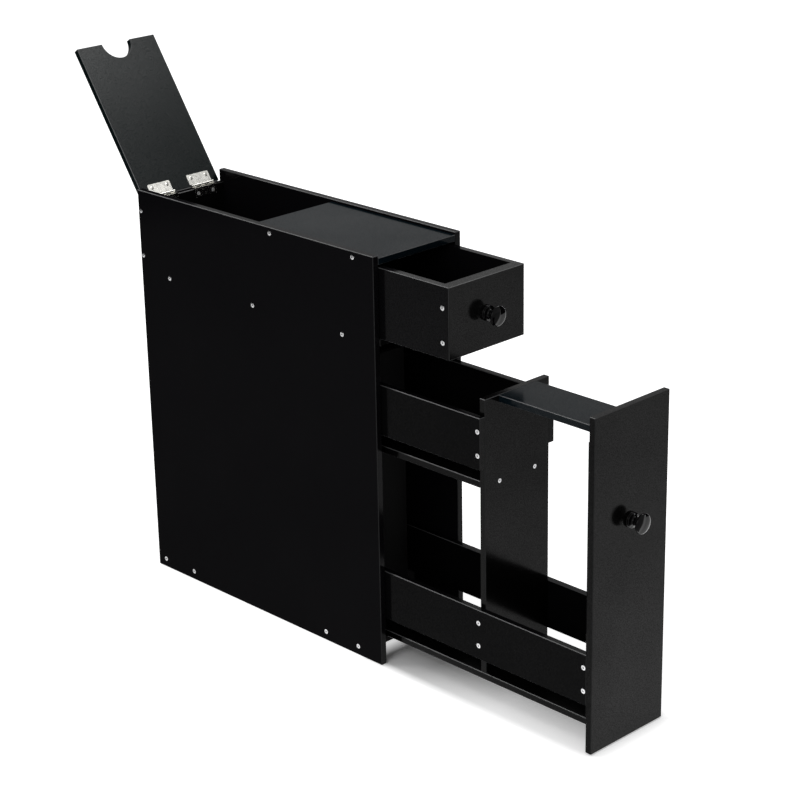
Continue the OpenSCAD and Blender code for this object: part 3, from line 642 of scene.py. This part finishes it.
# %% [markdown]
# ## Metal and gloss finishes
#
# The hinge leaves are nickel plated sheet with fine lines from rolling, along the pin. The screws
# are zinc plated. One metal could serve for both, but nickel is warmer than zinc, and side by side
# that shows. The screws in the fixed leaves look into a dark corner, where a bright mirror would
# show nothing but black, so their zinc is duller and gathers light from all round.
#
# The knobs are lacquered black and mirror the room sharply. A black lacquer hardly mirrors what
# lies straight ahead and mirrors nearly all that it sees at a flat angle. The lacquer's coat is
# set by how far a face turns away from the eye, as a painted sheen: a soft band across the middle,
# where the dome starts to turn, and a painted bright line along the rim.

# %% Plated sheet
rolled_stretch = (0.04, 1, 1)
stains_per_metre = 160
stain_spread = (0.4, 0.7)
stain_share = 0.72
line_spread = (0.3, 0.7)
smoother, rougher = 0.06, 0.08


def plated(name, colour, roughness, line_scale, line_depth):
    """A plated steel finish with fine lines along X."""
    made, tree, shader = new_material(name)
    shader.location = (500, 0)
    shader.inputs["Metallic"].default_value = 1.0
    on_piece = add_node(tree, "ShaderNodeTexCoord", (-900, 0)).outputs["Object"]
    stretch = add_node(tree, "ShaderNodeMapping", (-700, 0))
    stretch.inputs["Scale"].default_value = rolled_stretch
    wire(tree, on_piece, stretch.inputs["Vector"])
    lines = noise(tree, stretch.outputs[0], line_scale, 3, (-500, -200))
    stains = noise(tree, on_piece, stains_per_metre, 4, (-500, 200))
    stained = shrink_range(tree, stains, *stain_spread, 0, 1, (-250, 200))
    stain_colour = (*[c * stain_share for c in colour], 1)
    tone = blend_colours(tree, (*colour, 1), stain_colour, stained, (0, 200))
    wire(tree, tone, shader.inputs["Base Color"])
    low, high = roughness - smoother, roughness + rougher
    rough = shrink_range(tree, lines, *line_spread, low, high, (-250, -50))
    wire(tree, rough, shader.inputs["Roughness"])
    relief = add_node(tree, "ShaderNodeBump", (150, -300))
    relief.inputs["Distance"].default_value = line_depth
    wire(tree, lines, relief.inputs["Height"])
    wire(tree, relief.outputs["Normal"], shader.inputs["Normal"])
    return made


nickel = plated("nickel_sheet", (0.74, 0.73, 0.69), 0.20, 2600, 0.000006)
zinc = plated("zinc_screw", (0.86, 0.86, 0.87), 0.22, 1800, 0.00002)
dull_zinc = plated("dull_zinc_screw", (0.90, 0.90, 0.90), 0.55, 1800, 0.00002)
print("metal finishes", nickel.name, zinc.name, dull_zinc.name)

# %% Black lacquer
lacquer_black, lacquer_dust = (0.0012, 0.0012, 0.0013, 1), (0.010, 0.010, 0.010, 1)
lacquer_smooth, lacquer_smudged = 0.03, 0.07
lacquer_smudges_per_metre, lacquer_specks_per_metre = 90, 900
painted_sheen_by_turn = ((0.31, 0.0), (0.34, 0.26), (0.42, 0.13), (0.56, 0.13), (0.70, 1.0))

lacquer, tree, shader = new_material("black_lacquer")
shader.location = (500, 0)
shader.inputs["Specular IOR Level"].default_value = 0.08
shader.inputs["Coat Roughness"].default_value = 0.04
shader.inputs["Coat IOR"].default_value = 3.6
marks = add_node(tree, "ShaderNodeGroup", (-500, 0), node_tree=handling)
marks.inputs["Smudge Scale"].default_value = lacquer_smudges_per_metre
marks.inputs["Speck Scale"].default_value = lacquer_specks_per_metre
tint = blend_colours(tree, lacquer_black, lacquer_dust, marks.outputs["Specks"], (100, 200))
wire(tree, tint, shader.inputs["Base Color"])
smudges = marks.outputs["Smudges"]
rough = shrink_range(tree, smudges, 0, 1, lacquer_smooth, lacquer_smudged, (100, -100))
wire(tree, rough, shader.inputs["Roughness"])
# The coat weight follows how far a face turns away: a painted sheen band and a painted rim line.
turned_away = add_node(tree, "ShaderNodeLayerWeight", (-200, -350))
turned_away.inputs["Blend"].default_value = 0.5
shine = add_node(tree, "ShaderNodeValToRGB", (0, -350))
stops = shine.color_ramp.elements
for number, (turned, strength) in enumerate(painted_sheen_by_turn):
    stop = stops[number] if number < 2 else stops.new(turned)
    stop.position = turned
    stop.color = (strength, strength, strength, 1)
wire(tree, turned_away.outputs["Facing"], shine.inputs["Fac"])
wire(tree, shine.outputs["Color"], shader.inputs["Coat Weight"])
print("knob finish", lacquer.name)

# %% [markdown]
# ## Give every CAD node its finish
#
# Surfaces that look alike in the photo share a finish: the outer sides are the darkest, the fronts
# mirror the floor a little more, and boards that lie flat look lightest. A rule on the names could
# pick them, but a list can be read, and changed board by board.

# %% Assign the finishes
finish_of = {
    side_foil: ["left_side_panel", "right_side_panel"],
    slat_foil: ["left_middle_slat", "right_middle_slat", "left_bottom_slat", "right_bottom_slat"],
    drawer_side_foil: ["drawer_left_side", "drawer_right_side"],
    drawer_front_foil: ["drawer_front"],
    tall_front_foil: ["tall_front"],
    divider_foil: ["divider_panel"],
    top_foil: ["top_panel", "top_shelf"],
    shelf_foil: ["middle_shelf", "bottom_board"],
    lid_foil: ["lid_panel"],
    lit_rear_foil: ["rear_board"],
    inner_foil: ["shelf_panel", "upper_back_panel", "front_stretcher", "rear_stretcher", "drawer_back",
                 "drawer_bottom", "inner_board", "left_runner", "right_runner"],
    nickel: ["left_fixed_leaf", "right_fixed_leaf", "left_lid_leaf", "right_lid_leaf",
             "left_hinge_pin", "right_hinge_pin"],
    zinc: [n for n in nodes if "screw" in n],
    lacquer: ["tall_knob", "drawer_knob"],
}
for finish, names in finish_of.items():
    for name in names:
        nodes[name].data.materials.clear()
        nodes[name].data.materials.append(finish)
print("finished", sum(len(names) for names in finish_of.values()), "of", len(nodes), "nodes")

# %% [markdown]
# ## The knobs
#
# Each knob is turned on a lathe: two rounded rings at the foot, a slim waist, a wide flare, and a
# full rim that runs into a shallow dome. A lathe shape could be spun from a drawn outline.
# Here it is grown ring by ring instead, because each step is one extrude and one resize, as it
# would be by hand: start with a circle, pull it out a little, change its size, and go on.

# %% Knob outline: radius and distance from the foot of each ring
knob_rings_mm = [
    (9.2, 0.0), (10.1, 0.2), (10.5, 0.8), (10.5, 1.5), (10.0, 2.1), (9.2, 2.4), (9.2, 2.6),
    (10.1, 2.8), (10.5, 3.4), (10.4, 4.1), (9.7, 4.7), (8.6, 5.0), (7.3, 5.4), (6.3, 6.2),
    (5.7, 7.4), (5.5, 9.0), (5.6, 10.6), (6.1, 12.2), (7.4, 13.8), (9.2, 15.2), (11.2, 16.2),
    (12.7, 16.9), (13.5, 17.8), (13.7, 18.9), (13.5, 19.9), (12.9, 20.7), (11.9, 21.25),
    (10.4, 21.7), (8.4, 22.15), (6.0, 22.55), (3.2, 22.87), (1.0, 23.0),
]
knob_sides = 64
print("a knob has", len(knob_rings_mm), "rings and reaches", knob_rings_mm[-1][1], "mm")


# %% Grow a knob
def turned_knob(name, foot):
    """Grows one knob out of a circle at its foot, towards the front, and returns it."""
    first_radius = knob_rings_mm[0][0] / 1000
    bpy.ops.object.select_all(action="DESELECT")
    bpy.ops.mesh.primitive_circle_add(
        vertices=knob_sides, radius=first_radius, location=foot, rotation=(math.pi / 2, 0, 0)
    )
    knob = bpy.context.object
    knob.name = name
    bpy.ops.object.transform_apply(location=True, rotation=True, scale=True)
    bpy.ops.object.mode_set(mode="EDIT")
    bpy.ops.mesh.select_all(action="SELECT")
    radius, reach = first_radius, 0.0
    for ring_mm, reach_mm in knob_rings_mm[1:]:
        step = reach_mm / 1000 - reach
        growth = ring_mm / 1000 / radius
        bpy.ops.mesh.extrude_region_move(TRANSFORM_OT_translate={"value": (0, -step, 0)})
        bpy.ops.transform.resize(value=(growth, 1, growth), center_override=foot)
        radius, reach = ring_mm / 1000, reach_mm / 1000
    bpy.ops.mesh.edge_face_add()
    bpy.ops.mesh.select_all(action="DESELECT")
    bpy.ops.mesh.select_non_manifold(extend=False)
    bpy.ops.mesh.edge_face_add()
    bpy.ops.mesh.select_all(action="SELECT")
    bpy.ops.mesh.normals_make_consistent(inside=False)
    bpy.ops.object.mode_set(mode="OBJECT")
    bpy.ops.object.shade_smooth()
    rounder = knob.modifiers.new("rounder", "SUBSURF")
    rounder.levels = 1
    rounder.render_levels = 1
    bpy.ops.object.modifier_apply(modifier=rounder.name)
    knob.data.materials.append(lacquer)
    return knob


# %% Turn both knobs
for node_name, body in (("tall_knob", "slide_out"), ("drawer_knob", "drawer")):
    low, high = (Vector(corner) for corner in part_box(node_name))
    knob_foot = ((low.x + high.x) / 2, high.y, (low.z + high.z) / 2)
    knob = turned_knob("turned_" + node_name, knob_foot)
    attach(knob, body)
    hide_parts(node_name)
    print(knob.name, len(knob.data.polygons), "faces")

# %% [markdown]
# ## The screws
#
# The cabinet is held by bright countersunk screws. Pressed screw heads are slightly domed, their
# rim is rounded, and the cross recess narrows to its bottom, where it looks black. The CAD screws
# have straight-walled recesses, so a finer screw is made for each head size. The head is a disc
# that is extruded down into its cone and shank. The recess is cut by a cross of two blocks with
# narrowed bottoms. A drawn texture could fake the cross, but a real recess shades itself from
# every side. Its walls also get a nearly black steel: painted shade inside the cross. Each size is
# modelled once and copied to every place that has it.

# %% Painted shade in the recess: nearly black steel, a little grimy
painted_recess_shade, tree, shader = new_material("painted_recess_shade")
shader.inputs["Metallic"].default_value = 1.0
shader.inputs["Roughness"].default_value = 0.6
grime = add_node(tree, "ShaderNodeGroup", (-500, 0), node_tree=handling)
grime_per_metre = 700
grime.inputs["Smudge Scale"].default_value = grime_per_metre
# Both steels are nearly black, a painted shade in the recess, and grime mixes them.
shaded_steel, shaded_grimy_steel = (0.03, 0.03, 0.03, 1), (0.09, 0.088, 0.085, 1)
shaded_recess_colour = blend_colours(tree, shaded_steel, shaded_grimy_steel, grime.outputs["Smudges"], (-100, 0))
wire(tree, shaded_recess_colour, shader.inputs["Base Color"])
print("recess finish", painted_recess_shade.name)

# %% Proportions of a screw, as shares of its head's width
head_sides = 32
rim_height = 0.04
shank_width = 0.55
tip_narrowing = 0.7
recess_length = 0.62
recess_width = 0.20
recess_depth = 0.20
recess_bottom = (0.55, 0.7, 1)
dome_steps = ((0.10, 0.012), (0.32, 0.018))
sunk_from, sunk_to = 0.05, 1.1
faces_up, faces_down = 0.9, -0.5
sharpest_smooth_angle = math.radians(32)
print("recess is", recess_length, "of the head's width")


# %% Cutter for one arm of the recess
def tapered_block(length, width, depth):
    """A block whose bottom face is narrower than its top."""
    bpy.ops.mesh.primitive_cube_add(size=1, location=(0, 0, 0))
    block = bpy.context.object
    block.scale = (length, width, 2 * depth)
    bpy.ops.object.transform_apply(location=True, rotation=True, scale=True)
    for face in block.data.polygons:
        face.select = face.normal.z < faces_down
    bpy.ops.object.mode_set(mode="EDIT")
    bpy.ops.transform.resize(value=recess_bottom, center_override=(0, 0, 0))
    bpy.ops.object.mode_set(mode="OBJECT")
    return block


# %% Cone, shank and domed head
def screw_blank(name, head, length):
    """A screw without a recess that stands on its tip, with its head at the origin."""
    bpy.ops.object.select_all(action="DESELECT")
    bpy.ops.mesh.primitive_circle_add(vertices=head_sides, radius=head / 2, fill_type="NGON")
    screw = bpy.context.object
    screw.name = name
    rim = rim_height * head
    cone = (1 - shank_width) * head / 2
    bpy.ops.object.mode_set(mode="EDIT")
    bpy.ops.mesh.select_all(action="SELECT")
    for drop, size in ((rim, 1.0), (cone, shank_width), (length - cone - rim, tip_narrowing)):
        bpy.ops.mesh.extrude_region_move(TRANSFORM_OT_translate={"value": (0, 0, -drop)})
        bpy.ops.transform.resize(value=(size, size, 1), center_override=(0, 0, 0))
    bpy.ops.mesh.select_all(action="SELECT")
    bpy.ops.mesh.normals_make_consistent(inside=False)
    bpy.ops.object.mode_set(mode="OBJECT")
    for face in screw.data.polygons:
        face.select = face.normal.z > faces_up
    bpy.ops.object.mode_set(mode="EDIT")
    bpy.ops.mesh.select_mode(type="FACE")
    for inset, lift in dome_steps:
        bpy.ops.mesh.inset(thickness=inset * head / 2)
        bpy.ops.transform.translate(value=(0, 0, lift * head))
    bpy.ops.object.mode_set(mode="OBJECT")
    return screw


# %% Cross recess and finish
def screw_model(name, head, length):
    """A countersunk screw with a cross recess, bright outside and with painted shade inside the cross.
    """
    screw = screw_blank(name, head, length)
    depth = recess_depth * head
    for long_side, short_side in ((recess_length, recess_width), (recess_width, recess_length)):
        cutter = tapered_block(long_side * head, short_side * head, depth)
        cut = screw.modifiers.new("recess", "BOOLEAN")
        cut.operation = "DIFFERENCE"
        cut.solver = "EXACT"
        cut.object = cutter
        bpy.context.view_layer.objects.active = screw
        bpy.ops.object.modifier_apply(modifier=cut.name)
        bpy.data.objects.remove(cutter)
    screw.data.materials.append(zinc)
    screw.data.materials.append(painted_recess_shade)
    # Faces sunk inside the cross take the painted recess shade.
    for face in screw.data.polygons:
        across = math.hypot(face.center.x, face.center.y)
        sunk = sunk_from < -face.center.z / depth < sunk_to
        face.material_index = 1 if sunk and across < recess_length * head / 2 else 0
    bpy.ops.object.select_all(action="DESELECT")
    screw.select_set(True)
    bpy.ops.object.shade_smooth_by_angle(angle=sharpest_smooth_angle)
    return screw


# %% [markdown]
# A CAD node of screws is one mesh with a loose shell for each screw. Following the edges from
# corner to corner finds the shells, and the wider end of a shell is its head. Typing each place
# again would do the same, but it would be wrong after the next change to the CAD model.

# %% Find the shells of a CAD node
same_corner = 0.00001
end_band = 0.0004


def loose_shells(node_name):
    """The corners of each loose shell of a CAD node, one list for each screw."""
    mesh = bmesh.new()
    mesh.from_mesh(nodes[node_name].data)
    bmesh.ops.remove_doubles(mesh, verts=mesh.verts, dist=same_corner)
    mesh.verts.index_update()
    left = {vert.index: vert for vert in mesh.verts}
    shells = []
    while left:
        shell, open_ends = [], [left.popitem()[1]]
        while open_ends:
            vert = open_ends.pop()
            shell.append(vert.co.copy())
            for link in vert.link_edges:
                other = link.other_vert(vert)
                if other.index in left:
                    open_ends.append(left.pop(other.index))
        shells.append(shell)
    mesh.free()
    return shells


print("screws in the left side:", len(loose_shells("left_case_screws")))


# %% Read where the CAD screws are
def width_near(points, along, across, middle, end):
    """The width of a screw near one of its ends."""
    near = [p for p in points if abs(p[along] - end) < end_band]
    return 2 * max(math.hypot(*[p[i] - middle[i] for i in across]) for p in near)


def screw_seats(node_name, lean):
    """Head centre, outward direction, head width and length of every screw in a CAD node."""
    level = Matrix.Rotation(lean, 3, "X")
    seats = []
    for shell in loose_shells(node_name):
        points = [level @ corner for corner in shell]
        low = Vector([min(p[i] for p in points) for i in range(3)])
        high = Vector([max(p[i] for p in points) for i in range(3)])
        middle, size = (low + high) / 2, high - low
        along = max(range(3), key=lambda i: size[i])
        across = [i for i in range(3) if i != along]
        low_width, high_width = (
            width_near(points, along, across, middle, end[along]) for end in (low, high)
        )
        head_at_high = high_width > low_width
        outward = Vector([0.0, 0.0, 0.0])
        outward[along] = 1.0 if head_at_high else -1.0
        top = middle.copy()
        top[along] = high[along] if head_at_high else low[along]
        head = max(low_width, high_width)
        seats.append((level.inverted() @ top, level.inverted() @ outward, head, size[along]))
    return seats


top_mm = max(seat[0].z for seat in screw_seats("left_case_screws", 0.0)) * 1000
print("the highest of them sits", round(top_mm), "mm above the floor")

# %% Copy the screws to their places
screw_models = {}
screw_finish = {"lid_leaf_screws": nickel, "fixed_leaf_screws": dull_zinc}
first_turn, next_turn = 20, 37


def fit_screws(node_name, lean):
    """Copies the finer screw to every place of a CAD node and joins them to one piece."""
    bpy.ops.object.select_all(action="DESELECT")
    seats = screw_seats(node_name, lean)
    for number, (top, outward, head, length) in enumerate(seats):
        size = (round(head * 1000, 1), round(length * 1000))
        if size not in screw_models:
            screw_models[size] = screw_model(f"screw_{size[0]}x{size[1]}", head, length)
            screw_models[size].select_set(False)
        copy = screw_models[size].copy()
        copy.data = screw_models[size].data.copy()
        scene.collection.objects.link(copy)
        driven = Matrix.Rotation(math.radians(first_turn + next_turn * number), 4, "Z")
        upright = Vector((0, 0, 1)).rotation_difference(outward).to_matrix().to_4x4()
        copy.data.transform(Matrix.Translation(top) @ upright @ driven)
        copy.select_set(True)
        bpy.context.view_layer.objects.active = copy
    bpy.ops.object.join()
    fitted = bpy.context.object
    fitted.name = "cross_" + node_name
    fitted.data.materials[0] = screw_finish.get(node_name, zinc)
    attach(fitted, body_of(nodes[node_name])[0])
    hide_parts(node_name)
    return len(seats)


for node_name in sorted(n for n in nodes if n.endswith("screws")):
    count = fit_screws(node_name, lid_lean if node_name == "lid_leaf_screws" else 0.0)
    print(node_name, "has", count, "screws")
for size, model in screw_models.items():
    print("modelled a screw of", size, "mm with", len(model.data.polygons), "faces")
    bpy.data.objects.remove(model)
